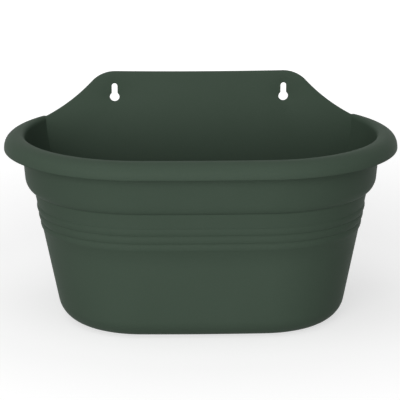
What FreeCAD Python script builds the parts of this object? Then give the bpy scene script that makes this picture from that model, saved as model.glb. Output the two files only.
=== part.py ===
import FreeCAD, Part
import math
import os

import Sketcher

# Wall-hung half-oval bucket, in millimetres.
# Frame: +Z up, base on z = 0, the flat back plate on y = 0, the bowed front towards -Y,
# and x = 0 on the plane of symmetry.

Vector = FreeCAD.Vector
UP = Vector(0, 0, 1)

SIZES = {
    # Rim: the outermost outline of the bucket
    "half_width": 150.0,         # middle plane to the widest point of the rim
    "end_radius": 104.7,         # the large round at each end
    "front_radius": 1380.0,      # the nearly flat bow of the front
    "widest_depth": 54.6,        # back plane to the widest point
    "rim_tuck": 22.3,            # how far each side draws in between its widest point and the back
    "rim_height": 11.7,          # of the skirt that turns down outside
    "rim_round": 10.8,           # outer round of the rolled edge
    "lip_round": 3.0,            # inner round of the rolled edge
    # Collar: the upright band below the rim
    "collar_height": 30.8,
    "collar_top_inset": 13.7,    # every inset is measured in from the rim's outline
    "collar_top_tuck": 17.0,
    "collar_foot_inset": 16.3,
    "collar_foot_tuck": 20.8,
    "collar_foot_round": 3.6,
    # Tapered wall below the collar
    "wall_height": 97.5,
    "wall_top_inset": 22.3,
    "wall_top_shift": 2.0,       # every shift carries the outline forward, away from the back
    "wall_top_tuck": 19.0,
    "base_inset": 43.6,
    "base_shift": 19.0,
    "base_tuck": 11.0,
    "base_round": 14.0,
    # Moulded thicknesses
    "wall": 2.2,
    "plate": 3.0,
    "floor": 2.6,
    # Three ribs round the wall
    "rib_drop": 10.9,            # from the collar's foot down to the first rib
    "rib_pitch": 6.1,
    "rib_width": 5.4,
    "rib_proud": 0.9,
    # Back plate above the rim
    "plate_rise": 35.5,
    "shoulder_reach": 66.0,      # middle plane to the centre of each shoulder's round
    "shoulder_radius": 24.6,
    "sweep_radius": 138.0,       # the hollow curve from the shoulder down to the rim
    "root_inset": 6.7,           # from the rim's back corner in to the plate's edge
    "root_drop": 0.5,            # from the rim's top down to the end of the hollow curve
    # Keyhole slots
    "keyhole_spacing": 132.6,
    "keyhole_rise": 15.2,        # rim's top to the centre of the round that passes a screw's head
    "keyhole_radius": 3.8,
    "slot_radius": 2.25,
    "slot_length": 8.7,          # centre of that round to the centre of the slot's upper end
    # Raised middle of the floor, with the drain hole
    "raise_inset": 24.0,         # from the base outline in to the raised area
    "raise_height": 5.0,
    "drain_depth": 75.0,         # back plane to the drain hole's centre
    "drain_radius": 11.0,
    # Drain bung
    "bung_clearance": 0.25,
    "bung_draw": 0.8,            # how much narrower the shank is at its foot
    "bung_below": 2.2,           # shank showing below the raised floor
    "flange_radius": 17.0,
    "flange_thick": 2.4,
    "stem_radius": 4.0,
    "stem_length": 7.0,
    "knob_radius": 8.0,
    "knob_thick": 5.0,
    "knob_round": 2.0,
}

document = FreeCAD.newDocument("feed_bucket")
sheet = document.addObject("Spreadsheet::Sheet", "Sizes")
for row, (alias, value) in enumerate(SIZES.items(), start=1):
    sheet.set(f"A{row}", alias)
    sheet.set(f"B{row}", str(value))
    sheet.setAlias(f"B{row}", alias)
document.recompute()


class Size:
    """A length that knows both its number and the sheet expression that gives it."""

    def __init__(self, number, text):
        self.number = number
        self.text = text

    def __add__(self, other):
        return Size(self.number + other.number, f"({self.text} + {other.text})")

    def __sub__(self, other):
        return Size(self.number - other.number, f"({self.text} - {other.text})")

    def __mul__(self, other):
        return Size(self.number * other.number, f"({self.text} * {other.text})")

    def __truediv__(self, other):
        return Size(self.number / other.number, f"({self.text} / {other.text})")


def cell(alias):
    return Size(SIZES[alias], f"Sizes.{alias}")


def plain(number):
    return Size(float(number), str(float(number)))


ZERO = plain(0)
TWO = plain(2)


# ---------------------------------------------------------------- sketches

def new_body(name):
    body = document.addObject("PartDesign::Body", name)
    body.Label = name
    return body


def origin_plane(body, role):
    return next(item for item in body.Origin.OriginFeatures if item.Role == role)


def new_sketch(body, name, role, height=ZERO):
    sketch = body.newObject("Sketcher::SketchObject", name)
    sketch.AttachmentSupport = [(origin_plane(body, role), "")]
    sketch.MapMode = "FlatFace"
    sketch.AttachmentOffset = FreeCAD.Placement(Vector(0, 0, height.number), FreeCAD.Rotation())
    sketch.setExpression(".AttachmentOffset.Base.z", height.text)
    return sketch


def bind(sketch, kind, *places, size):
    """Add one driving dimension and tie it to the sheet."""
    index = sketch.addConstraint(Sketcher.Constraint(kind, *places, size.number))
    sketch.setExpression(f"Constraints[{index}]", size.text)


def fix(sketch, kind, *places):
    sketch.addConstraint(Sketcher.Constraint(kind, *places))


def arc(centre_x, centre_y, radius, start, end):
    circle = Part.Circle(Vector(centre_x, centre_y, 0), UP, radius)
    return Part.ArcOfCircle(circle, start, end)


START, END, CENTRE = 1, 2, 3
ORIGIN = (-1, 1)
Y_AXIS = -2


class Outline:
    """The half-oval plan shape at one height.

    It is a flat back, two rear rounds, two end rounds and a bowed front, all tangent in turn.
    """

    def __init__(self, inset, shift, tuck):
        self.half_width = cell("half_width") - inset
        self.end_radius = cell("end_radius") - inset
        self.front_radius = cell("front_radius") - inset
        self.widest = cell("widest_depth") + shift
        self.rear_radius = (tuck * tuck + self.widest * self.widest) / (TWO * tuck)
        self.back = ZERO

    def inside(self, thickness, back):
        """The same shape moved in by a thickness, cut off by a back wall."""
        inner = Outline(ZERO, ZERO, plain(1))
        inner.half_width = self.half_width - thickness
        inner.end_radius = self.end_radius - thickness
        inner.front_radius = self.front_radius - thickness
        inner.rear_radius = self.rear_radius - thickness
        inner.widest = self.widest
        inner.back = back
        return inner

    def front_centre(self):
        """How far behind the back plane the centre of the front's bow lies."""
        reach = self.front_radius.number - self.end_radius.number
        end_x = self.half_width.number - self.end_radius.number
        return math.sqrt(reach ** 2 - end_x ** 2) - self.widest.number

    def draw(self, body, name, height):
        sketch = new_sketch(body, name, "XY_Plane", height)
        half_width = self.half_width.number
        end_radius = self.end_radius.number
        front_radius = self.front_radius.number
        rear_radius = self.rear_radius.number
        widest = self.widest.number
        back = self.back.number
        end_x = half_width - end_radius
        rear_x = half_width - rear_radius
        front_y = self.front_centre()
        join = math.atan2(-widest - front_y, end_x)
        turn = math.asin((widest - back) / rear_radius)
        corner = rear_x + rear_radius * math.cos(turn)
        sketch.addGeometry([
            Part.LineSegment(Vector(-corner, -back, 0), Vector(corner, -back, 0)),
            arc(rear_x, -widest, rear_radius, 0, turn),
            arc(end_x, -widest, end_radius, join, 0),
            arc(0, front_y, front_radius, -math.pi - join, join),
            arc(-end_x, -widest, end_radius, math.pi, math.pi - join),
            arc(-rear_x, -widest, rear_radius, math.pi - turn, math.pi),
        ], False)
        flat, rear, end, front, far_end, far_rear = range(6)
        fix(sketch, "Coincident", flat, END, rear, END)
        fix(sketch, "Tangent", rear, START, end, END)
        fix(sketch, "Tangent", end, START, front, END)
        fix(sketch, "Tangent", front, START, far_end, END)
        fix(sketch, "Tangent", far_end, START, far_rear, END)
        fix(sketch, "Coincident", far_rear, START, flat, START)
        fix(sketch, "Horizontal", flat)
        fix(sketch, "Symmetric", end, CENTRE, far_end, CENTRE, Y_AXIS)
        fix(sketch, "Symmetric", rear, CENTRE, far_rear, CENTRE, Y_AXIS)
        fix(sketch, "PointOnObject", front, CENTRE, Y_AXIS)
        fix(sketch, "Horizontal", rear, CENTRE, end, CENTRE)
        bind(sketch, "Radius", rear, size=self.rear_radius)
        bind(sketch, "Radius", end, size=self.end_radius)
        bind(sketch, "Radius", front, size=self.front_radius)
        bind(sketch, "DistanceX", *ORIGIN, rear, START, size=self.half_width)
        bind(sketch, "DistanceY", end, CENTRE, *ORIGIN, size=self.widest)
        bind(sketch, "DistanceY", flat, START, *ORIGIN, size=self.back)
        return sketch


# ---------------------------------------------------------------- features

def pad(body, name, sketch, length):
    feature = body.newObject("PartDesign::Pad", name)
    feature.Profile = sketch
    feature.Length = length.number
    feature.setExpression("Length", length.text)
    document.recompute()
    return feature


def pocket(body, name, sketch, length, forwards=False):
    """Cut against the sketch's normal, or along it when forwards is set."""
    before = body.Shape.Volume
    feature = body.newObject("PartDesign::Pocket", name)
    feature.Profile = sketch
    feature.Reversed = forwards
    feature.Length = length.number
    feature.setExpression("Length", length.text)
    document.recompute()
    if body.Shape.Volume >= before:
        raise RuntimeError(f"{name} cuts nothing")
    return feature


def loft(body, name, sketches, kind="PartDesign::AdditiveLoft"):
    feature = body.newObject(kind, name)
    feature.Profile = sketches[0]
    feature.Sections = sketches[1:]
    feature.Ruled = True
    document.recompute()
    return feature


def fillet(body, name, base, edges, radius):
    feature = body.newObject("PartDesign::Fillet", name)
    feature.Base = (base, edges)
    feature.Radius = radius.number
    feature.setExpression("Radius", radius.text)
    document.recompute()
    return feature


def level_edges(feature, height, inside):
    """Names of the edges that lie flat at one height and whose middle passes a test."""
    names = []
    for number, edge in enumerate(feature.Shape.Edges, start=1):
        box = edge.BoundBox
        flat = abs(box.ZMin - height.number) < 0.01 and abs(box.ZMax - height.number) < 0.01
        middle = edge.valueAt((edge.FirstParameter + edge.LastParameter) / 2)
        if flat and inside(middle):
            names.append(f"Edge{number}")
    if not names:
        raise RuntimeError(f"no edges of {feature.Name} at {height.number}")
    return names


# ---------------------------------------------------------------- bucket shell

RIM = Outline(ZERO, ZERO, cell("rim_tuck"))
COLLAR_TOP = Outline(cell("collar_top_inset"), ZERO, cell("collar_top_tuck"))
COLLAR_FOOT = Outline(cell("collar_foot_inset"), ZERO, cell("collar_foot_tuck"))
WALL_TOP = Outline(cell("wall_top_inset"), cell("wall_top_shift"), cell("wall_top_tuck"))
BASE = Outline(cell("base_inset"), cell("base_shift"), cell("base_tuck"))

COLLAR_FOOT_HEIGHT = cell("wall_height")
RIM_FOOT = COLLAR_FOOT_HEIGHT + cell("collar_height")
RIM_TOP = RIM_FOOT + cell("rim_height")
PLATE_TOP = RIM_TOP + cell("plate_rise")
SHELF = COLLAR_FOOT_HEIGHT + cell("wall")
RAISED_FLOOR = cell("raise_height") + cell("floor")


def wall_outline(height, proud):
    """The outer outline of the tapered wall at a height, moved out by an amount."""
    share = height / COLLAR_FOOT_HEIGHT

    def between(low, high):
        return low + (high - low) * share

    outline = Outline(
        between(cell("base_inset"), cell("wall_top_inset")) - proud,
        between(cell("base_shift"), cell("wall_top_shift")),
        between(cell("base_tuck"), cell("wall_top_tuck")),
    )
    return outline


def rim_curve(radius, degrees):
    """Inset and height on a round that shares its centre with the rim's shoulder."""
    across = plain(math.cos(math.radians(degrees)))
    up = plain(math.sin(math.radians(degrees)))
    inset = cell("rim_round") - radius * across
    height = RIM_TOP - cell("rim_round") + radius * up
    return inset, height


def add_rim(body):
    """The rolled rim: a cap with a rounded shoulder and a skirt, hollow from below."""
    outline = RIM.draw(body, "RimOutline", RIM_FOOT)
    cap = pad(body, "RimCap", outline, cell("rim_height"))
    top = level_edges(cap, RIM_TOP, lambda middle: middle.y < -0.01)
    fillet(body, "RimShoulder", cap, top, cell("rim_round"))
    sections = [RIM.inside(cell("wall"), cell("plate")).draw(body, "HollowFoot", RIM_FOOT)]
    for number, angle in enumerate((0, 35, 70), start=1):
        inset, height = rim_curve(cell("rim_round") - cell("wall"), angle)
        sections.append(RIM.inside(inset, cell("plate")).draw(body, f"Hollow{number}", height))
    loft(body, "RimHollow", sections, kind="PartDesign::SubtractiveLoft")


BEND_ANGLES = (90, 60, 30, 0)


def quarter_round(radius, degrees):
    """Steps along a quarter round: how far it has come in and how far it is from its top."""
    across = radius * plain(1 - math.cos(math.radians(degrees)))
    up = radius * plain(1 - math.sin(math.radians(degrees)))
    return across, up


def bend_sections(body, name, floor_height, radius, thickness, back):
    """Outlines that round the tapered wall into the base."""
    sections = []
    for number, degrees in enumerate(BEND_ANGLES, start=1):
        across, up = quarter_round(radius, degrees)
        height = floor_height + up
        outline = wall_outline(height, ZERO).inside(thickness + across, back)
        sections.append(outline.draw(body, f"{name}Bend{number}", height))
    return sections


def add_walls(body):
    """Collar and tapered wall as solid cores, one on the other."""
    collar = loft(body, "Collar", [
        COLLAR_FOOT.draw(body, "CollarFoot", COLLAR_FOOT_HEIGHT),
        COLLAR_TOP.draw(body, "CollarTop", RIM_TOP - cell("wall") / TWO),
    ])
    foot = level_edges(collar, COLLAR_FOOT_HEIGHT, lambda middle: middle.y < -0.01)
    fillet(body, "CollarFootRound", collar, foot, cell("collar_foot_round"))
    sections = bend_sections(body, "Base", ZERO, cell("base_round"), ZERO, ZERO)
    sections.append(WALL_TOP.draw(body, "WallTopOutline", COLLAR_FOOT_HEIGHT))
    loft(body, "TaperedWall", sections)


def add_ribs(body):
    """Three shallow ridges round the wall, each highest in its middle."""
    half = cell("rib_width") / TWO
    for number in range(3):
        crest = COLLAR_FOOT_HEIGHT - cell("rib_drop") - half - cell("rib_pitch") * plain(number)
        sections = []
        for label, height, proud in (
            ("Foot", crest - half, ZERO),
            ("Crest", crest, cell("rib_proud")),
            ("Head", crest + half, ZERO),
        ):
            outline = wall_outline(height, proud)
            sections.append(outline.draw(body, f"Rib{number + 1}{label}", height))
        loft(body, f"Rib{number + 1}", sections)


def intersect_circles(first, first_radius, second, second_radius):
    """Where two circles meet, on the right of the way from the first centre to the second."""
    along = second - first
    gap = along.Length
    reach = (gap ** 2 + first_radius ** 2 - second_radius ** 2) / (2 * gap)
    offset = math.sqrt(first_radius ** 2 - reach ** 2)
    unit = along / gap
    right = Vector(unit.y, -unit.x, 0)
    return first + unit * reach + right * offset


def add_back_plate(body):
    """The tall back plate: round shoulders that sweep down into the rim."""
    sketch = new_sketch(body, "BackPlateOutline", "XZ_Plane")
    root_across = cell("half_width") - cell("rim_tuck") - cell("root_inset")
    root_up = RIM_TOP - cell("root_drop")
    foot = RIM_FOOT.number
    root = Vector(root_across.number, root_up.number, 0)
    shoulder_radius = SIZES["shoulder_radius"]
    sweep_radius = SIZES["sweep_radius"]
    top = PLATE_TOP.number
    shoulder = Vector(SIZES["shoulder_reach"], top - shoulder_radius, 0)
    sweep = intersect_circles(root, sweep_radius, shoulder, shoulder_radius + sweep_radius)
    towards = sweep - shoulder
    lean = math.atan2(towards.y, towards.x)
    start = math.atan2(root.y - sweep.y, root.x - sweep.x)
    sketch.addGeometry([
        Part.LineSegment(Vector(-root.x, foot, 0), Vector(root.x, foot, 0)),
        Part.LineSegment(Vector(root.x, foot, 0), root),
        arc(sweep.x, sweep.y, sweep_radius, lean + math.pi, start + 2 * math.pi),
        arc(shoulder.x, shoulder.y, shoulder_radius, lean, math.pi / 2),
        Part.LineSegment(Vector(shoulder.x, top, 0), Vector(-shoulder.x, top, 0)),
        arc(-shoulder.x, shoulder.y, shoulder_radius, math.pi / 2, math.pi - lean),
        arc(-sweep.x, sweep.y, sweep_radius, math.pi - start, 2 * math.pi - lean),
        Part.LineSegment(Vector(-root.x, root.y, 0), Vector(-root.x, foot, 0)),
    ], False)
    base, side, hollow, round_end, edge, far_round, far_hollow, far_side = range(8)
    fix(sketch, "Coincident", base, END, side, START)
    fix(sketch, "Coincident", side, END, hollow, END)
    fix(sketch, "Tangent", hollow, START, round_end, START)
    fix(sketch, "Tangent", round_end, END, edge, START)
    fix(sketch, "Tangent", edge, END, far_round, START)
    fix(sketch, "Tangent", far_round, END, far_hollow, END)
    fix(sketch, "Coincident", far_hollow, START, far_side, START)
    fix(sketch, "Coincident", far_side, END, base, START)
    fix(sketch, "Vertical", side)
    fix(sketch, "Vertical", far_side)
    fix(sketch, "Horizontal", base)
    fix(sketch, "Horizontal", edge)
    fix(sketch, "Symmetric", round_end, CENTRE, far_round, CENTRE, Y_AXIS)
    fix(sketch, "Symmetric", side, END, far_side, START, Y_AXIS)
    bind(sketch, "Radius", round_end, size=cell("shoulder_radius"))
    bind(sketch, "Radius", hollow, size=cell("sweep_radius"))
    bind(sketch, "Radius", far_hollow, size=cell("sweep_radius"))
    bind(sketch, "DistanceX", *ORIGIN, round_end, CENTRE, size=cell("shoulder_reach"))
    bind(sketch, "DistanceY", *ORIGIN, edge, START, size=PLATE_TOP)
    bind(sketch, "DistanceX", *ORIGIN, side, END, size=root_across)
    bind(sketch, "DistanceY", *ORIGIN, side, END, size=root_up)
    bind(sketch, "DistanceY", *ORIGIN, base, START, size=RIM_FOOT)
    pad(body, "BackPlate", sketch, cell("plate"))


def cut_cavity(body):
    """Hollow the cores out to an even wall, with the same step as outside."""
    wall = cell("wall")
    plate = cell("plate")
    sections = bend_sections(body, "Cavity", cell("floor"), cell("base_round") - wall, wall, plate)
    sections.append(WALL_TOP.inside(wall, plate).draw(body, "CavityShelf", SHELF))
    loft(body, "LowerCavity", sections, kind="PartDesign::SubtractiveLoft")
    loft(body, "UpperCavity", [
        COLLAR_FOOT.inside(wall, plate).draw(body, "CavityCollarFoot", SHELF),
        COLLAR_TOP.inside(wall, plate).draw(body, "CavityNeck", RIM_TOP - cell("lip_round")),
    ], kind="PartDesign::SubtractiveLoft")
    flare = []
    for number, degrees in enumerate(BEND_ANGLES, start=1):
        across, up = quarter_round(cell("lip_round"), degrees)
        height = RIM_TOP - up
        outline = COLLAR_TOP.inside(wall - across, plate)
        flare.append(outline.draw(body, f"Mouth{number}", height))
    loft(body, "MouthFlare", flare[::-1], kind="PartDesign::SubtractiveLoft")


def cut_keyholes(body):
    """Two keyhole slots: a round that passes a screw's head and a slot above it."""
    sketch = new_sketch(body, "KeyholeOutlines", "XZ_Plane")
    radius = SIZES["keyhole_radius"]
    slot = SIZES["slot_radius"]
    entry_height = RIM_TOP + cell("keyhole_rise")
    head_height = entry_height + cell("slot_length")
    low = entry_height.number
    high = head_height.number
    neck = math.acos(slot / radius)
    shoulder = low + radius * math.sin(neck)
    for side in (-1, 1):
        middle = side * SIZES["keyhole_spacing"] / 2
        first = sketch.GeometryCount
        sketch.addGeometry([
            arc(middle, low, radius, math.pi - neck, 2 * math.pi + neck),
            Part.LineSegment(Vector(middle + slot, shoulder, 0), Vector(middle + slot, high, 0)),
            arc(middle, high, slot, 0, math.pi),
            Part.LineSegment(Vector(middle - slot, high, 0), Vector(middle - slot, shoulder, 0)),
        ], False)
        entry, right, head, left = range(first, first + 4)
        fix(sketch, "Coincident", entry, END, right, START)
        fix(sketch, "Tangent", right, END, head, START)
        fix(sketch, "Tangent", head, END, left, START)
        fix(sketch, "Coincident", left, END, entry, START)
        fix(sketch, "Vertical", right)
        fix(sketch, "Vertical", left)
        fix(sketch, "Vertical", entry, CENTRE, head, CENTRE)
        bind(sketch, "Radius", entry, size=cell("keyhole_radius"))
        bind(sketch, "Radius", head, size=cell("slot_radius"))
        bind(sketch, "DistanceY", *ORIGIN, entry, CENTRE, size=entry_height)
        bind(sketch, "DistanceY", *ORIGIN, head, CENTRE, size=head_height)
        reach = cell("keyhole_spacing") / TWO
        if side > 0:
            bind(sketch, "DistanceX", *ORIGIN, entry, CENTRE, size=reach)
        else:
            bind(sketch, "DistanceX", entry, CENTRE, *ORIGIN, size=reach)
    pocket(body, "Keyholes", sketch, cell("plate"), forwards=True)


def add_floor(body):
    """A raised middle, so the bucket stands on a ring, with the drain hole through it."""
    raised = BASE.inside(cell("raise_inset"), cell("raise_inset"))
    inset_below = cell("raise_inset") + cell("floor")
    recess = BASE.inside(inset_below, inset_below)
    pad(body, "RaisedFloor", raised.draw(body, "RaisedFloorOutline", ZERO), RAISED_FLOOR)
    recess_sketch = recess.draw(body, "RecessOutline", ZERO)
    pocket(body, "FloorRecess", recess_sketch, cell("raise_height"), forwards=True)
    hole = new_sketch(body, "DrainOutline", "XY_Plane")
    centre = Vector(0, -SIZES["drain_depth"], 0)
    hole.addGeometry(Part.Circle(centre, UP, SIZES["drain_radius"]), False)
    fix(hole, "PointOnObject", 0, CENTRE, Y_AXIS)
    bind(hole, "Radius", 0, size=cell("drain_radius"))
    bind(hole, "DistanceY", 0, CENTRE, *ORIGIN, size=cell("drain_depth"))
    pocket(body, "DrainHole", hole, RAISED_FLOOR, forwards=True)


def build_shell():
    body = new_body("bucket_shell")
    add_rim(body)
    add_walls(body)
    add_ribs(body)
    add_back_plate(body)
    cut_cavity(body)
    add_floor(body)
    cut_keyholes(body)
    return body


# ---------------------------------------------------------------- drain bung

def build_bung():
    """A turned rubber bung: tapered shank, flange and a knob to pull it out by."""
    body = new_body("drain_bung")
    sketch = new_sketch(body, "BungProfile", "XZ_Plane")
    fit = cell("drain_radius") - cell("bung_clearance")
    tip = fit - cell("bung_draw")
    levels = [cell("raise_height") - cell("bung_below"), RAISED_FLOOR]
    levels.append(levels[-1] + cell("flange_thick"))
    levels.append(levels[-1] + cell("stem_length"))
    levels.append(levels[-1] + cell("knob_thick"))
    foot, seat, flange_top, knob_foot, knob_top = levels
    corners = [
        (ZERO, foot),
        (tip, foot),
        (fit, seat),
        (cell("flange_radius"), seat),
        (cell("flange_radius"), flange_top),
        (cell("stem_radius"), flange_top),
        (cell("stem_radius"), knob_foot),
        (cell("knob_radius"), knob_foot),
        (cell("knob_radius"), knob_top),
        (ZERO, knob_top),
    ]
    points = [Vector(across.number, up.number, 0) for across, up in corners]
    count = len(points)
    for index, point in enumerate(points):
        sketch.addGeometry(Part.LineSegment(point, points[(index + 1) % count]), False)
    for index, (across, up) in enumerate(corners):
        fix(sketch, "Coincident", index, END, (index + 1) % count, START)
        if across is ZERO:
            fix(sketch, "PointOnObject", index, START, Y_AXIS)
        else:
            bind(sketch, "DistanceX", *ORIGIN, index, START, size=across)
        bind(sketch, "DistanceY", *ORIGIN, index, START, size=up)
    turned = body.newObject("PartDesign::Revolution", "BungTurned")
    turned.Profile = sketch
    turned.ReferenceAxis = (sketch, ["V_Axis"])
    turned.Angle = 360
    document.recompute()
    edges = level_edges(turned, knob_top, lambda middle: True)
    edges += level_edges(turned, knob_foot, lambda middle: math.hypot(middle.x, middle.y) > 5)
    fillet(body, "KnobRound", turned, edges, cell("knob_round"))
    body.Placement = FreeCAD.Placement(Vector(0, -SIZES["drain_depth"], 0), FreeCAD.Rotation())
    body.setExpression(".Placement.Base.y", "-Sizes.drain_depth")
    return body


# ---------------------------------------------------------------- build and export

def check(parts):
    document.recompute()
    for item in document.Objects:
        if "Invalid" in item.State or "Error" in item.State:
            raise RuntimeError(f"{item.Name} failed: {item.State}")
    for part in parts:
        if part.Shape.isNull() or not part.Shape.isValid():
            raise RuntimeError(f"{part.Label} has no valid shape")


def export(parts):
    os.makedirs("parts", exist_ok=True)
    for part in parts:
        part.Shape.exportStep(f"parts/{part.Label}.step")
        box = part.Shape.BoundBox
        print(part.Label, len(part.Shape.Solids), "solid", round(part.Shape.Volume), "mm3",
              [round(v, 2) for v in (box.XMin, box.XMax, box.YMin, box.YMax, box.ZMin, box.ZMax)])


parts = [build_shell(), build_bung()]
check(parts)
export(parts)
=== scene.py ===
# %% [markdown]
# # A wall-hung feed bucket
# One half-oval shell of dark green plastic, with a rolled rim, a collar, three ribs and a tall
# back plate, and a rubber bung in the floor. The imported model is loaded first, because every
# piece takes its place and size from it.

# %% Load the imported model
import math

import bmesh
import bpy
from mathutils import Matrix, Vector


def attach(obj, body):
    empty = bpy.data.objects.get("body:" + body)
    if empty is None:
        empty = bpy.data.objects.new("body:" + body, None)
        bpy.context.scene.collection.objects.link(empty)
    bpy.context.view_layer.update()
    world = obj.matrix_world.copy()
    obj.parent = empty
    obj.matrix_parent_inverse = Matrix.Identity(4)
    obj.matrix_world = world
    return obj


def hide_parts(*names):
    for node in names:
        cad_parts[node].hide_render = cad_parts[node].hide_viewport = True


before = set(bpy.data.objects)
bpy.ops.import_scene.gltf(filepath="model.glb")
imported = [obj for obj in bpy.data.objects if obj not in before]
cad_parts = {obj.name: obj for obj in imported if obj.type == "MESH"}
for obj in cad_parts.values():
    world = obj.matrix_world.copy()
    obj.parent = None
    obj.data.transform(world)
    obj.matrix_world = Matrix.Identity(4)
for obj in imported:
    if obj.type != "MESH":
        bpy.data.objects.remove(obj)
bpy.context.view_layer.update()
MM = 0.001

# %% [markdown]
# ## Sizes
# The shell's plan is a half-oval: a flat back, two rear rounds, two end rounds and a bowed front.
# Every level of the bucket is that same outline moved in by an inset, pushed forward by a shift
# and drawn in at the back by a tuck. All the sizes are in millimetres and turned into metres
# where the vertices are placed.

# %% The driving sizes
HALF_WIDTH = 150.0
END_RADIUS = 104.7
FRONT_RADIUS = 1380.0
WIDEST_DEPTH = 54.56  # 0.04 less than on the CAD model, so that the front stays inside its box

WALL = 2.2
PLATE = 3.0
FLOOR = 2.6

BASE_INSET, BASE_SHIFT, BASE_TUCK = 43.6, 19.0, 11.0
WALL_TOP_INSET, WALL_TOP_SHIFT, WALL_TOP_TUCK = 22.3, 2.0, 18.7
COLLAR_FOOT_INSET, COLLAR_FOOT_TUCK = 16.3, 18.8
COLLAR_TOP_INSET, COLLAR_TOP_TUCK = 13.7, 16.0
RIM_TUCK = 22.3
NECK_INSET, NECK_TUCK = 15.9, 15.5

WALL_HEIGHT = 97.5
RIM_FOOT = 128.3
RIM_TOP = 140.0
BASE_ROUND = 14.0
RIM_ROUND = 10.2
SHELF_ROUND = 8.5
RAISE_HEIGHT = 5.0
RAISE_INSET = 24.0

print("rim height in mm:", RIM_TOP, "and width:", 2 * HALF_WIDTH)

# %% [markdown]
# ### One level
# A level holds a height and the four numbers that shape its outline. The outline is six arcs that
# run into each other smoothly, so only their centres and the angles where they meet are needed.


# %% The half-oval
class Level:
    """One half-oval outline at one height."""

    def __init__(self, height, inset, shift=0.0, tuck=0.0, back=0.8):
        self.height = height
        self.inset = inset
        self.shift = shift
        self.tuck = tuck
        self.back = back


def arc_points(centre_x, centre_y, radius, start, end, steps):
    """Points along an arc, without its last one, so that arcs can follow each other."""
    angles = [start + (end - start) * step / steps for step in range(steps)]
    return [(centre_x + radius * math.cos(a), centre_y + radius * math.sin(a)) for a in angles]


REAR_STEPS, END_STEPS, FRONT_STEPS = 14, 40, 10


def half_oval(level):
    """The outline's points from the right back corner, round the front, to the left one."""
    half_width = HALF_WIDTH - level.inset
    end_radius = END_RADIUS - level.inset
    front_radius = FRONT_RADIUS - level.inset
    widest = WIDEST_DEPTH + level.shift
    rear_radius = (level.tuck ** 2 + widest ** 2) / (2 * level.tuck)
    end_x = half_width - end_radius
    rear_x = half_width - rear_radius
    front_y = math.sqrt((front_radius - end_radius) ** 2 - end_x ** 2) - widest
    turn = math.asin((widest - level.back) / rear_radius)
    join = math.atan2(-widest - front_y, end_x)
    right = arc_points(rear_x, -widest, rear_radius, turn, 0, REAR_STEPS)
    right += arc_points(end_x, -widest, end_radius, 0, join, END_STEPS)
    right += arc_points(0, front_y, front_radius, join, -math.pi / 2, FRONT_STEPS)
    middle = [(0, front_y - front_radius)]
    left = [(-x, y) for x, y in reversed(right)]
    return right + middle + left


print("points round one level:", len(half_oval(Level(0, 0, tuck=RIM_TUCK))))

# %% [markdown]
# ## The profile
# The bucket's section is drawn as a list of levels: out from the middle of the floor, up the
# outside, over the rolled rim and down the inside again. Rounds are short runs of levels along a
# quarter circle, so that light rolls over them as it does over moulded plastic.


# %% Helpers for the profile
def blend(low, high, share):
    return low + (high - low) * share


def wall_level(height, proud=0.0, inside=0.0, back=0.8):
    """The tapered wall at a height, moved out by a rib or in by the wall's thickness."""
    share = height / WALL_HEIGHT
    return Level(
        height,
        blend(BASE_INSET, WALL_TOP_INSET, share) - proud + inside,
        blend(BASE_SHIFT, WALL_TOP_SHIFT, share),
        blend(BASE_TUCK, WALL_TOP_TUCK, share),
        back,
    )


def collar_level(height, inside=0.0, back=0.8):
    """The collar between its foot and the rim."""
    share = (height - WALL_HEIGHT) / (RIM_FOOT - WALL_HEIGHT)
    return Level(
        height,
        blend(COLLAR_FOOT_INSET, COLLAR_TOP_INSET, share) + inside,
        0.0,
        blend(COLLAR_FOOT_TUCK, COLLAR_TOP_TUCK, share),
        back,
    )


def rim_level(height, inset, back=0.8):
    """The rolled rim, which gets narrower towards the back plate."""
    return Level(height, inset, 0.0, blend(RIM_TUCK, NECK_TUCK, inset / NECK_INSET), back)


def quarter(steps, first=0.0, last=90.0):
    """Angles in radians along a quarter turn."""
    return [math.radians(blend(first, last, step / steps)) for step in range(steps + 1)]


# %% [markdown]
# ### Three ribs
# Each rib is a shallow band that swells out of the wall and drops back to a fine groove. A sine
# arch gives the swell, and a power below one makes its bands fuller and the grooves between them
# narrow.

# %% Rib levels
RIB_TOP = 86.7
RIB_PITCH = 6.15
RIB_WIDTH = 5.8
RIB_PROUD = 0.85
RIB_FULLNESS = 0.6
RIB_STEPS = 12


def rib_levels():
    levels = []
    for number in reversed(range(3)):
        head = RIB_TOP - RIB_PITCH * number
        for step in range(RIB_STEPS + 1):
            share = step / RIB_STEPS
            swell = math.sin(math.pi * share) ** RIB_FULLNESS if 0 < share < 1 else 0.0
            levels.append(wall_level(head - RIB_WIDTH * (1 - share), proud=RIB_PROUD * swell))
    return levels


print("levels across the ribs:", len(rib_levels()))

# %% [markdown]
# ### Floor and wall outside
# The underside has a shallow recess, so the bucket stands on a ring. A quarter round leads up
# into the tapered wall.


# %% The outside, from the floor's underside up to the collar
def outer_levels():
    recess = BASE_INSET + RAISE_INSET + FLOOR
    foot_back = RAISE_INSET + FLOOR
    levels = [Level(RAISE_HEIGHT, recess, BASE_SHIFT, BASE_TUCK, foot_back)]
    levels.append(Level(0.0, recess - 0.6, BASE_SHIFT, BASE_TUCK, foot_back - 0.6))
    for angle in quarter(10):
        height = BASE_ROUND * (1 - math.cos(angle))
        levels.append(wall_level(height, inside=BASE_ROUND * (1 - math.sin(angle))))
    lowest_rib = RIB_TOP - 2 * RIB_PITCH - RIB_WIDTH
    for share in (0.25, 0.5, 0.75):
        levels.append(wall_level(blend(BASE_ROUND, lowest_rib, share)))
    levels += rib_levels()
    for share in (0.35, 0.75, 0.97, 1.0):
        levels.append(wall_level(blend(RIB_TOP, WALL_HEIGHT, share)))
    return levels


print("levels up the wall:", len(outer_levels()))

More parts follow.
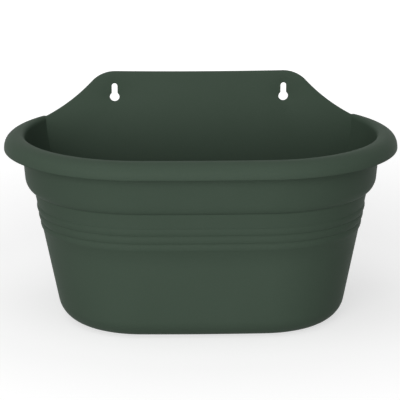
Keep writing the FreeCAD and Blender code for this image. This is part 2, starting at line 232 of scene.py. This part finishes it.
# %% [markdown]
# ### The collar and the rim
# Above the ribs the wall steps out to a collar. The rim is rolled over it like an upside-down
# gutter: a hollow underneath, a straight skirt, and a round over to a narrow flat crest.


# %% The collar and the rim
def collar_levels():
    """A rounded shelf out from the wall, then the upright band."""
    out = WALL_TOP_INSET - COLLAR_FOOT_INSET
    levels = []
    for angle in quarter(8, 12):
        level = collar_level(WALL_HEIGHT + SHELF_ROUND * (1 - math.cos(angle)))
        level.inset += out * (1 - math.sin(angle))
        level.shift = WALL_TOP_SHIFT * (1 - math.sin(angle))
        levels.append(level)
    for height in (112.0, 118.0, 124.0, 128.0, 134.0):
        levels.append(collar_level(height, back=1.0))
    return levels


def hollow_levels():
    """Under the rim: the hollow between the collar and the skirt."""
    inner_round = RIM_ROUND - WALL
    levels = [rim_level(RIM_TOP - WALL - 0.6, COLLAR_TOP_INSET - 0.2, back=1.1)]
    levels.append(rim_level(RIM_TOP - WALL, COLLAR_TOP_INSET - 1.0, back=1.2))
    for angle in quarter(8, 10):
        height = RIM_TOP - RIM_ROUND + inner_round * math.cos(angle)
        levels.append(rim_level(height, RIM_ROUND - inner_round * math.sin(angle), back=1.3))
    levels.append(rim_level(RIM_FOOT + 0.5, WALL, back=1.4))
    return levels


def skirt_levels():
    """The skirt's foot, its outer face and the round over to the crest."""
    levels = [
        rim_level(RIM_FOOT + 0.1, WALL - 0.15, back=0.9),
        rim_level(RIM_FOOT, WALL - 0.5),
        rim_level(RIM_FOOT, 0.45),
        rim_level(RIM_FOOT + 0.12, 0.12),
        rim_level(RIM_FOOT + 0.45, 0.0),
    ]
    for angle in quarter(14, 2):
        height = RIM_TOP - RIM_ROUND + RIM_ROUND * math.sin(angle)
        levels.append(rim_level(height, RIM_ROUND - (RIM_ROUND - 0.05) * math.cos(angle)))
    return levels


# %% [markdown]
# ### The inside
# The inner skin follows the outer one at the wall's thickness, with the same step under the
# collar. Its back stops inside the thickness of the back plate, which is made next and closes it.

# %% The inside, from the rim's lip down to the floor
def inner_levels():
    deep = WALL
    lip = NECK_INSET - RIM_ROUND - 1.6
    levels = []
    for angle in quarter(8, 8):
        inset = NECK_INSET - lip * (1 - math.sin(angle))
        height = RIM_TOP - lip * (1 - math.cos(angle))
        levels.append(rim_level(height, inset, back=deep))
    for share in (0.25, 0.5, 0.75, 1.0):
        height = blend(RIM_TOP - lip, WALL_HEIGHT + SHELF_ROUND, share)
        levels.append(collar_level(height, inside=WALL, back=deep))
    out = WALL_TOP_INSET - COLLAR_FOOT_INSET
    for angle in quarter(6):
        height = WALL_HEIGHT + WALL + (SHELF_ROUND - WALL) * (1 - math.sin(angle))
        level = collar_level(height, WALL, deep)
        level.inset += out * (1 - math.cos(angle))
        level.shift = WALL_TOP_SHIFT * (1 - math.cos(angle))
        levels.append(level)
    for height in (96.0, 80.0, 60.0, 40.0, 25.0):
        levels.append(wall_level(height, inside=WALL, back=deep))
    bend = BASE_ROUND - WALL
    for angle in quarter(8):
        height = FLOOR + bend * (1 - math.sin(angle))
        levels.append(wall_level(height, inside=WALL + bend * (1 - math.cos(angle)), back=deep))
    rise = BASE_INSET + RAISE_INSET
    raised = RAISE_HEIGHT + FLOOR
    levels.append(Level(FLOOR, rise - 0.6, BASE_SHIFT, BASE_TUCK, RAISE_INSET - 0.6))
    levels.append(Level(FLOOR + 0.6, rise, BASE_SHIFT, BASE_TUCK, RAISE_INSET))
    levels.append(Level(raised - 0.8, rise + 0.2, BASE_SHIFT, BASE_TUCK, RAISE_INSET))
    levels.append(Level(raised, rise + 1.0, BASE_SHIFT, BASE_TUCK, RAISE_INSET + 1.0))
    return levels


# %% [markdown]
# ## The bowl
# A ring of vertices is laid on the first level, and its edges are extruded once for each level
# after it. After each extrude, the new ring is moved to its own level, so that the operator makes
# the faces and the outline only says where they go. A face closes the ring at each end, and the
# drain hole is cut afterwards.


# %% Grow the bowl ring by ring
def place_ring(ring, level):
    for vertex, (x, y) in zip(ring, half_oval(level)):
        vertex.co = (x * MM, y * MM, level.height * MM)


def risen_ring(ring, fresh):
    """The extruded vertices, in the order of the ring that they came from."""
    places = {vertex: number for number, vertex in enumerate(ring)}
    risen = [None] * len(ring)
    for vertex in fresh:
        for edge in vertex.link_edges:
            number = places.get(edge.other_vert(vertex))
            if number is not None:
                risen[number] = vertex
    return risen


def grow_bowl(levels):
    mesh = bmesh.new()
    count = len(half_oval(levels[0]))
    bmesh.ops.create_circle(mesh, segments=count, radius=0.1)
    mesh.verts.ensure_lookup_table()
    ring = list(mesh.verts)
    edges = list(mesh.edges)
    place_ring(ring, levels[0])
    bmesh.ops.contextual_create(mesh, geom=edges)
    for level in levels[1:]:
        grown = bmesh.ops.extrude_edge_only(mesh, edges=edges)["geom"]
        fresh = [item for item in grown if isinstance(item, bmesh.types.BMVert)]
        edges = [item for item in grown if isinstance(item, bmesh.types.BMEdge)]
        ring = risen_ring(ring, fresh)
        place_ring(ring, level)
    bmesh.ops.contextual_create(mesh, geom=edges)
    bmesh.ops.recalc_face_normals(mesh, faces=mesh.faces)
    return mesh


outside = outer_levels() + collar_levels()
rim_outside = skirt_levels()
all_levels = outside + hollow_levels() + rim_outside + inner_levels()
bowl = grow_bowl(all_levels)
print("bowl levels:", len(all_levels), "faces:", len(bowl.faces), "volume cm3:",
      round(bowl.calc_volume() * 1e6, 1))

# %% [markdown]
# ## The back plate
# The back is one flat plate, from the base up to its two round shoulders. Below the rim its edge
# is the bowl's own section at the back plane; above, two hollow curves sweep up to the shoulders.
# The outline and the two keyholes are drawn as loops of edges, filled, and given a thickness, and
# the edges are bevelled a little, as every moulded edge is.

# %% Keyhole and plate outlines
PLATE_RISE = 35.5
SHOULDER_REACH, SHOULDER_RADIUS = 66.0, 24.6
SWEEP_RADIUS = 138.0
ROOT_ACROSS, ROOT_HEIGHT = 121.0, 139.5
TOP_DIP = 0.5
HAIR = 0.04
KEYHOLE_REACH, KEYHOLE_HEIGHT, KEYHOLE_RADIUS = 66.3, 155.2, 3.8
SLOT_RADIUS, SLOT_HEIGHT = 2.25, 163.9


def circles_meet(first, first_radius, second, second_radius):
    """Where two circles meet, on the right of the way from the first centre to the second."""
    along = second - first
    reach = (along.length ** 2 + first_radius ** 2 - second_radius ** 2) / (2 * along.length)
    offset = math.sqrt(first_radius ** 2 - reach ** 2)
    unit = along.normalized()
    return first + unit * reach + Vector((unit.y, -unit.x)) * offset


def upper_edge():
    """Points of the right half above the rim, from the root up to the middle of the top."""
    root = Vector((ROOT_ACROSS, ROOT_HEIGHT))
    shoulder = Vector((SHOULDER_REACH, RIM_TOP + PLATE_RISE - SHOULDER_RADIUS))
    sweep = circles_meet(root, SWEEP_RADIUS, shoulder, SHOULDER_RADIUS + SWEEP_RADIUS)
    start = math.atan2(root.y - sweep.y, root.x - sweep.x)
    lean = math.atan2(sweep.y - shoulder.y, sweep.x - shoulder.x)
    points = arc_points(sweep.x, sweep.y, SWEEP_RADIUS, start, lean - math.pi, 24)
    points += arc_points(shoulder.x, shoulder.y, SHOULDER_RADIUS, lean, math.pi / 2, 14)
    for step in range(13):
        across = SHOULDER_REACH * (1 - step / 12)
        dip = TOP_DIP * (1 - (across / SHOULDER_REACH) ** 2)
        points.append((across, RIM_TOP + PLATE_RISE - dip))
    return points


def lower_edge():
    """The bowl's own section at the back plane, from the base up to the plate's root.

    It is a hair inside the bowl, so that no two faces of the union lie in one plane."""
    points = []
    for level in outside[1:] + rim_outside:
        flush = Level(level.height, level.inset, level.shift, level.tuck, back=0.0)
        across = half_oval(flush)[0][0]
        recess = level is outside[1]
        behind_rim = level in outside and level.height > RIM_FOOT
        past_root = level.height > RIM_TOP - 4 and across < ROOT_ACROSS
        if not (recess or behind_rim or past_root):
            points.append((across - HAIR, max(level.height, HAIR)))
    return points


def keyhole(middle):
    """A round for the screw's head, with a slot above it for the shank."""
    neck = math.acos(SLOT_RADIUS / KEYHOLE_RADIUS)
    start, end = math.pi - neck, 2 * math.pi + neck
    points = arc_points(middle, KEYHOLE_HEIGHT, KEYHOLE_RADIUS, start, end, 28)
    edge = KEYHOLE_HEIGHT + KEYHOLE_RADIUS * math.sin(neck)
    points.append((middle + SLOT_RADIUS, edge))
    points += arc_points(middle, SLOT_HEIGHT, SLOT_RADIUS, 0, math.pi, 12)
    points.append((middle - SLOT_RADIUS, SLOT_HEIGHT))
    return points


print("plate outline points, lower:", len(lower_edge()), "upper:", len(upper_edge()))

# %% [markdown]
# ### Fill and thicken
# A triangle fill copes with an outline that has two holes in it, where one big face can't. The
# filled sheet is extruded forwards, and only the sharp edges that stay in sight are bevelled.


# %% Fill the plate, thicken it and soften its edges
def edge_loop(mesh, points):
    """A closed loop of edges in the back plane."""
    vertices = [mesh.verts.new((x * MM, 0, z * MM)) for x, z in points]
    return [mesh.edges.new((vertices[n - 1], vertices[n])) for n in range(len(vertices))]


def build_plate():
    mesh = bmesh.new()
    half = lower_edge() + upper_edge()
    outline = half + [(-x, z) for x, z in reversed(half[:-1])]
    edges = edge_loop(mesh, outline)
    edges += edge_loop(mesh, keyhole(KEYHOLE_REACH))
    edges += edge_loop(mesh, keyhole(-KEYHOLE_REACH))
    bmesh.ops.triangle_fill(mesh, use_beauty=True, edges=edges)
    body = bmesh.ops.extrude_face_region(mesh, geom=list(mesh.faces))["geom"]
    front = [item for item in body if isinstance(item, bmesh.types.BMVert)]
    bmesh.ops.translate(mesh, verts=front, vec=(0, -PLATE * MM, 0))
    bmesh.ops.recalc_face_normals(mesh, faces=mesh.faces)
    corners = [
        edge for edge in mesh.edges
        if edge.calc_face_angle(0) > math.radians(60)
        and min(vertex.co.z for vertex in edge.verts) > (ROOT_HEIGHT - 0.1) * MM
    ]
    bmesh.ops.bevel(mesh, geom=corners, offset=0.5 * MM, segments=3, profile=0.5,
                    affect="EDGES", material=-1, clamp_overlap=True)
    return mesh


plate = build_plate()
print("plate faces:", len(plate.faces), "volume cm3:", round(plate.calc_volume() * 1e6, 1))

# %% [markdown]
# ## One shell
# The drain hole is a short cylinder taken out of the floor, and the plate is joined to the bowl,
# both with exact booleans, as the moulding is one piece of plastic. Edges that turn sharply are
# marked, and the rest are shaded smooth. Where the plate and the rim nearly touch at the root, the
# union leaves a few tiny edges with a third face inside the wall, and the print counts them.

# %% Helpers for pieces
DRAIN_DEPTH, DRAIN_RADIUS = 75.0, 11.0
SHARP_TURN = math.radians(38)
MERGE_WITHIN = 0.005


def new_piece(name, mesh):
    data = bpy.data.meshes.new(name)
    mesh.to_mesh(data)
    mesh.free()
    piece = bpy.data.objects.new(name, data)
    bpy.context.scene.collection.objects.link(piece)
    return piece


def shade(piece, turn):
    """Smooth faces, with the edges that turn further than the limit kept sharp."""
    mesh = bmesh.new()
    mesh.from_mesh(piece.data)
    bmesh.ops.remove_doubles(mesh, verts=mesh.verts, dist=MERGE_WITHIN * MM)
    rims = [edge for edge in mesh.edges if edge.is_boundary]
    bmesh.ops.holes_fill(mesh, edges=rims, sides=12)
    for face in mesh.faces:
        face.smooth = True
    for edge in mesh.edges:
        edge.smooth = edge.calc_face_angle(0) < turn
    loose = sum(not edge.is_manifold for edge in mesh.edges)
    print(piece.name, "faces:", len(mesh.faces), "edges without two faces:", loose)
    mesh.to_mesh(piece.data)
    mesh.free()


def combine(piece, other, operation):
    """Applies an exact boolean and removes the other piece."""
    change = piece.modifiers.new(operation.title(), "BOOLEAN")
    change.operation = operation
    change.solver = "EXACT"
    change.object = other
    bpy.context.view_layer.update()
    evaluated = piece.evaluated_get(bpy.context.evaluated_depsgraph_get())
    data = bpy.data.meshes.new_from_object(evaluated)
    piece.modifiers.clear()
    piece.data = data
    bpy.data.objects.remove(other)


print("helpers ready:", new_piece.__name__, shade.__name__, combine.__name__)


# %% Join the shell
def drain_cutter():
    mesh = bmesh.new()
    place = Matrix.Translation((0, -DRAIN_DEPTH * MM, RAISE_HEIGHT * MM))
    bmesh.ops.create_cone(mesh, cap_ends=True, segments=64, radius1=DRAIN_RADIUS * MM,
                          radius2=DRAIN_RADIUS * MM, depth=20 * MM, matrix=place)
    return mesh


shell = new_piece("shell", bowl)
combine(shell, new_piece("drain_cutter", drain_cutter()), "DIFFERENCE")
combine(shell, new_piece("back_plate", plate), "UNION")
shell.data.name = "shell"
shade(shell, SHARP_TURN)

# %% [markdown]
# ## The bung
# A rubber bung is turned in one piece: a tapered shank with two soft sealing beads, a flange that
# sits on the floor, and a knob to pull. Its half section is spun round the drain's axis.

# %% Spin the bung
BUNG_SECTION = [
    (0.0, 2.8), (8.6, 2.8), (9.6, 3.2), (10.0, 4.0), (10.2, 4.8), (10.6, 5.3), (10.3, 5.9),
    (10.35, 6.6), (10.6, 7.1), (10.6, 7.6), (16.3, 7.6), (16.85, 7.8), (17.0, 8.4), (16.9, 9.2),
    (16.3, 9.8), (15.4, 10.0), (7.0, 10.0), (5.2, 10.5), (4.3, 11.6), (4.0, 13.4), (4.1, 15.6),
    (4.8, 16.8), (6.2, 17.4), (7.3, 18.0), (7.9, 19.2), (7.9, 20.2), (7.3, 21.2), (6.0, 21.8),
    (3.0, 22.0), (0.0, 22.0),
]


def build_bung():
    mesh = bmesh.new()
    points = [mesh.verts.new((r * MM, -DRAIN_DEPTH * MM, z * MM)) for r, z in BUNG_SECTION]
    for first, second in zip(points, points[1:]):
        mesh.edges.new((first, second))
    bmesh.ops.spin(mesh, geom=list(mesh.verts) + list(mesh.edges), angle=2 * math.pi, steps=72,
                   axis=(0, 0, 1), cent=(0, -DRAIN_DEPTH * MM, 0), use_merge=True)
    bmesh.ops.remove_doubles(mesh, verts=mesh.verts, dist=0.01 * MM)
    bmesh.ops.recalc_face_normals(mesh, faces=mesh.faces)
    return mesh


bung = new_piece("bung", build_bung())
shade(bung, SHARP_TURN)

# %% [markdown]
# ## The grain
# A moulding tool leaves a fine matt texture with a slower waviness under it. It could be sculpted
# or painted, but noise gives it everywhere at the right size and needs no unwrapping. Both
# materials use it, so it is a node group with two strengths as its inputs. First come three small
# helpers that make a group, a noise and a sum.


# %% Helpers for node groups
def new_group(name, inputs, outputs):
    group = bpy.data.node_groups.new(name, "ShaderNodeTree")
    for label, value in inputs.items():
        socket = group.interface.new_socket(label, in_out="INPUT", socket_type="NodeSocketFloat")
        socket.default_value = value
    for label in outputs:
        group.interface.new_socket(label, in_out="OUTPUT", socket_type="NodeSocketFloat")
    return group, group.nodes.new("NodeGroupInput"), group.nodes.new("NodeGroupOutput")


def noise(nodes, links, place, scale, detail, roughness=0.55):
    node = nodes.new("ShaderNodeTexNoise")
    links.new(place, node.inputs["Vector"])
    node.inputs["Scale"].default_value = scale
    node.inputs["Detail"].default_value = detail
    node.inputs["Roughness"].default_value = roughness
    return node


def sums(nodes, links, operation, first, second):
    """A math node whose two inputs are sockets or numbers."""
    node = nodes.new("ShaderNodeMath")
    node.operation = operation
    for number, value in enumerate((first, second)):
        if isinstance(value, (int, float)):
            node.inputs[number].default_value = value
        else:
            links.new(value, node.inputs[number])
    return node.outputs[0]


print("helpers ready:", new_group.__name__, noise.__name__, sums.__name__)


# %% The grain group
FINE_SCALE, SPECK_SCALE, WAVE_SCALE, MOTTLE_SCALE = 2600, 900, 55, 14


def build_grain():
    strengths = {"Fine": 0.6, "Wave": 0.4}
    group, start, end = new_group("moulded_grain", strengths, ["Height", "Mottle"])
    nodes, links = group.nodes, group.links
    place = nodes.new("ShaderNodeTexCoord").outputs["Object"]
    fine = noise(nodes, links, place, FINE_SCALE, 3).outputs["Fac"]
    wave = noise(nodes, links, place, WAVE_SCALE, 2).outputs["Fac"]
    mottle = noise(nodes, links, place, MOTTLE_SCALE, 5, 0.65).outputs["Fac"]
    speck = noise(nodes, links, place, SPECK_SCALE, 2).outputs["Fac"]
    fine_part = sums(nodes, links, "MULTIPLY", fine, start.outputs["Fine"])
    wave_part = sums(nodes, links, "MULTIPLY", wave, start.outputs["Wave"])
    links.new(sums(nodes, links, "ADD", fine_part, wave_part), end.inputs["Height"])
    speckled = sums(nodes, links, "MULTIPLY", speck, 0.5)
    slow = sums(nodes, links, "MULTIPLY", mottle, 0.5)
    links.new(sums(nodes, links, "ADD", slow, speckled), end.inputs["Mottle"])
    return group


grain_group = build_grain()
print("grain group outputs:", [item.name for item in grain_group.interface.items_tree])

# %% [markdown]
# ## The scuffs
# Scuffs are short pale scrapes, where hands and tools touch. Two noises are multiplied, one fine
# and squeezed in height, one broad, and a steep ramp keeps only their highest places. The material
# says where the scuffs may lie.


# %% The scuff group
SCRAPE_SCALE, PATCH_SCALE = 260, 32
SCRAPE_STRETCH = (1.0, 1.0, 5.0)
SCUFF_FROM, SCUFF_TO = 0.46, 0.60


def build_scuffs():
    group, start, end = new_group("scuffs", {"Where": 0.0, "Amount": 0.5}, ["Mask"])
    nodes, links = group.nodes, group.links
    place = nodes.new("ShaderNodeTexCoord").outputs["Object"]
    stretch = nodes.new("ShaderNodeMapping")
    stretch.inputs["Scale"].default_value = SCRAPE_STRETCH
    links.new(place, stretch.inputs["Vector"])
    scrape = noise(nodes, links, stretch.outputs["Vector"], SCRAPE_SCALE, 6, 0.7).outputs["Fac"]
    patch = noise(nodes, links, place, PATCH_SCALE, 3).outputs["Fac"]
    both = sums(nodes, links, "MULTIPLY", scrape, patch)
    amount = sums(nodes, links, "MULTIPLY", start.outputs["Amount"], 0.2)
    lifted = sums(nodes, links, "ADD", both, amount)
    steep = nodes.new("ShaderNodeMapRange")
    steep.inputs["From Min"].default_value = SCUFF_FROM
    steep.inputs["From Max"].default_value = SCUFF_TO
    links.new(lifted, steep.inputs["Value"])
    mask = sums(nodes, links, "MULTIPLY", steep.outputs[0], start.outputs["Where"])
    links.new(mask, end.inputs["Mask"])
    return group


scuff_group = build_scuffs()
print("scuff group outputs:", [item.name for item in scuff_group.interface.items_tree])

# %% [markdown]
# ## The green plastic
# Polypropylene coloured right through: a dark matt grey-green. The reflection is set low, as the
# fine grain scatters nearly all of it. The colour and the roughness mottle a little. A height band
# lets faint scuffs lie on the rim's crown and on the back plate above it, where hands reach.


# %% Helpers for materials
def new_material(name):
    """A node material, with its nodes, its links and its Principled surface."""
    material = bpy.data.materials.new(name)
    material.use_nodes = True
    nodes = material.node_tree.nodes
    return material, nodes, material.node_tree.links, nodes["Principled BSDF"]


def add_group(nodes, group, **values):
    node = nodes.new("ShaderNodeGroup")
    node.node_tree = group
    for label, value in values.items():
        node.inputs[label].default_value = value
    return node


def mix_colours(nodes, links, factor, first, second):
    node = nodes.new("ShaderNodeMix")
    node.data_type = "RGBA"
    links.new(factor, node.inputs[0])
    for socket, value in ((node.inputs[6], first), (node.inputs[7], second)):
        if isinstance(value, tuple):
            socket.default_value = (*value, 1)
        else:
            links.new(value, socket)
    return node.outputs[2]


def height_band(nodes, links, low, high):
    """0 below one height and 1 above another, in metres on the object."""
    place = nodes.new("ShaderNodeTexCoord").outputs["Object"]
    split = nodes.new("ShaderNodeSeparateXYZ")
    links.new(place, split.inputs[0])
    band = nodes.new("ShaderNodeMapRange")
    band.inputs["From Min"].default_value = low
    band.inputs["From Max"].default_value = high
    links.new(split.outputs["Z"], band.inputs["Value"])
    return band.outputs[0]


print("helpers ready:", add_group.__name__, mix_colours.__name__, height_band.__name__)

# %% Plastic material
GREEN_DEEP = (0.047, 0.073, 0.051)
GREEN_LIGHT = (0.064, 0.091, 0.068)
GREEN_SCUFF = (0.085, 0.115, 0.092)
SCUFFS_START, SCUFFS_FULL = 0.130, 0.142


def build_plastic():
    material, nodes, links, surface = new_material("green_polypropylene")
    grain = add_group(nodes, grain_group, Fine=1.0, Wave=1.6)
    scuffs = add_group(nodes, scuff_group, Amount=0.4)
    links.new(height_band(nodes, links, SCUFFS_START, SCUFFS_FULL), scuffs.inputs["Where"])
    body = mix_colours(nodes, links, grain.outputs["Mottle"], GREEN_DEEP, GREEN_LIGHT)
    colour = mix_colours(nodes, links, scuffs.outputs["Mask"], body, GREEN_SCUFF)
    links.new(colour, surface.inputs["Base Color"])
    rough = nodes.new("ShaderNodeMapRange")
    rough.inputs["To Min"].default_value = 0.50
    rough.inputs["To Max"].default_value = 0.64
    links.new(grain.outputs["Mottle"], rough.inputs["Value"])
    links.new(rough.outputs[0], surface.inputs["Roughness"])
    surface.inputs["Specular IOR Level"].default_value = 0.05
    bump = nodes.new("ShaderNodeBump")
    bump.inputs["Strength"].default_value = 0.5
    bump.inputs["Distance"].default_value = 0.0001
    links.new(grain.outputs["Height"], bump.inputs["Height"])
    links.new(bump.outputs["Normal"], surface.inputs["Normal"])
    return material


plastic = build_plastic()
shell.data.materials.clear()
shell.data.materials.append(plastic)
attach(shell, "bucket")
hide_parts("bucket_shell")
print("shell material:", plastic.name, "nodes:", len(plastic.node_tree.nodes))

# %% [markdown]
# ## The rubber
# Black rubber with no gloss: a dark base that pales slightly where the mottle is high, high
# roughness, and the same grain with a deeper bump than on the plastic. Its colours are dark greys
# and not pure black, so that its form still shows in the shade of the bucket.


# %% Rubber material
def build_rubber():
    material, nodes, links, surface = new_material("black_rubber")
    grain = add_group(nodes, grain_group, Fine=1.0, Wave=0.5)
    dark, pale = (0.012, 0.012, 0.013), (0.030, 0.030, 0.031)
    colour = mix_colours(nodes, links, grain.outputs["Mottle"], dark, pale)
    links.new(colour, surface.inputs["Base Color"])
    surface.inputs["Roughness"].default_value = 0.72
    surface.inputs["Specular IOR Level"].default_value = 0.4
    bump = nodes.new("ShaderNodeBump")
    bump.inputs["Strength"].default_value = 0.5
    bump.inputs["Distance"].default_value = 0.00015
    links.new(grain.outputs["Height"], bump.inputs["Height"])
    links.new(bump.outputs["Normal"], surface.inputs["Normal"])
    return material


bung.data.materials.append(build_rubber())
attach(bung, "bung")
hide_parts("drain_bung")
print("bung material:", bung.data.materials[0].name)

# %% [markdown]
# ## The floor
# The bucket stands on a wide pale floor that catches its soft shadow. A brighter lamp could make
# the floor white, but would wash out the bucket. So the floor adds a little light of its own, only
# for the rays that see it: less near the bucket, to keep the shadow, and more far away.


# %% Floor
NEAR_LIFT, FAR_LIFT = 0.62, 1.0
NEAR_REACH, FAR_REACH = 0.2, 0.9


def seen_share(nodes, links):
    """1 for camera, glossy and transmission rays, and 0 for the rays that only bring light."""
    path = nodes.new("ShaderNodeLightPath")
    camera_ray, glossy_ray = path.outputs["Is Camera Ray"], path.outputs["Is Glossy Ray"]
    seen = sums(nodes, links, "MAXIMUM", camera_ray, glossy_ray)
    return sums(nodes, links, "MAXIMUM", seen, path.outputs["Is Transmission Ray"])


def build_floor():
    mesh = bmesh.new()
    bmesh.ops.create_grid(mesh, x_segments=1, y_segments=1, size=6)
    floor = new_piece("floor", mesh)
    material, nodes, links, surface = new_material("white_floor")
    surface.inputs["Base Color"].default_value = (0.55, 0.55, 0.55, 1)
    surface.inputs["Roughness"].default_value = 0.9
    surface.inputs["Specular IOR Level"].default_value = 0.0
    surface.inputs["Emission Color"].default_value = (1, 1, 1, 1)
    reach = nodes.new("ShaderNodeVectorMath")
    reach.operation = "LENGTH"
    links.new(nodes.new("ShaderNodeTexCoord").outputs["Object"], reach.inputs[0])
    spread = nodes.new("ShaderNodeMapRange")
    spread.inputs["From Min"].default_value = NEAR_REACH
    spread.inputs["From Max"].default_value = FAR_REACH
    spread.inputs["To Min"].default_value = NEAR_LIFT
    spread.inputs["To Max"].default_value = FAR_LIFT
    links.new(reach.outputs["Value"], spread.inputs["Value"])
    lift = sums(nodes, links, "MULTIPLY", seen_share(nodes, links), spread.outputs[0])
    links.new(lift, surface.inputs["Emission Strength"])
    floor.data.materials.append(material)
    return floor


print("floor width in metres:", build_floor().dimensions.x)

# %% [markdown]
# ## The light
# The light is soft and comes mostly from the front and a little from the left, so that the walls
# are even and the inside falls off into shade. A large lamp low in front does most of it, a second
# one overhead draws the dark lines under the rim and the collar, and a dim world fills the rest.


# %% World and lamps
def area_lamp(name, place, aim, size, power):
    lamp = bpy.data.lights.new(name, "AREA")
    lamp.shape = "DISK"
    lamp.size = size
    lamp.energy = power
    holder = bpy.data.objects.new(name, lamp)
    holder.location = place
    holder.rotation_euler = (Vector(aim) - Vector(place)).to_track_quat("-Z", "Y").to_euler()
    bpy.context.scene.collection.objects.link(holder)


def build_world(ambient):
    world = bpy.data.worlds.new("light_tent")
    bpy.context.scene.world = world
    world.use_nodes = True
    nodes, links = world.node_tree.nodes, world.node_tree.links
    strength = nodes.new("ShaderNodeMapRange")
    strength.inputs["To Min"].default_value = ambient
    strength.inputs["To Max"].default_value = 1.0
    links.new(seen_share(nodes, links), strength.inputs["Value"])
    nodes["Background"].inputs["Color"].default_value = (1, 1, 1, 1)
    links.new(strength.outputs[0], nodes["Background"].inputs["Strength"])


AMBIENT = 0.27
MIDDLE = (0, -0.08, 0.09)
build_world(AMBIENT)
area_lamp("front_soft", (-0.45, -1.9, 0.48), MIDDLE, size=1.5, power=27.5)
area_lamp("top_soft", (-0.3, -0.5, 1.8), MIDDLE, size=1.2, power=6)
print("lamps:", [lamp.name for lamp in bpy.data.lights])

# %% [markdown]
# ## The camera
# The view is from just above the rim and square to the front, a hair to the left. A long lens
# keeps the sides nearly parallel, as a product picture does.

# %% Camera
AZIMUTH, ELEVATION = math.radians(-1.53), math.radians(15.46)
DISTANCE = 1.5
TARGET = Vector((-0.0012, -0.075, 0.0907))
LENS, SENSOR = 177.7, 36.0

camera = bpy.data.objects.new("camera", bpy.data.cameras.new("camera"))
towards = Vector((math.sin(AZIMUTH) * math.cos(ELEVATION),
                  -math.cos(AZIMUTH) * math.cos(ELEVATION), math.sin(ELEVATION)))
camera.location = TARGET + towards * DISTANCE
camera.rotation_euler = (-towards).to_track_quat("-Z", "Y").to_euler()
camera.data.lens = LENS
camera.data.sensor_width = SENSOR
bpy.context.scene.collection.objects.link(camera)
bpy.context.scene.camera = camera
bpy.context.scene.view_settings.view_transform = "Standard"
print("camera at:", [round(value, 3) for value in camera.location])
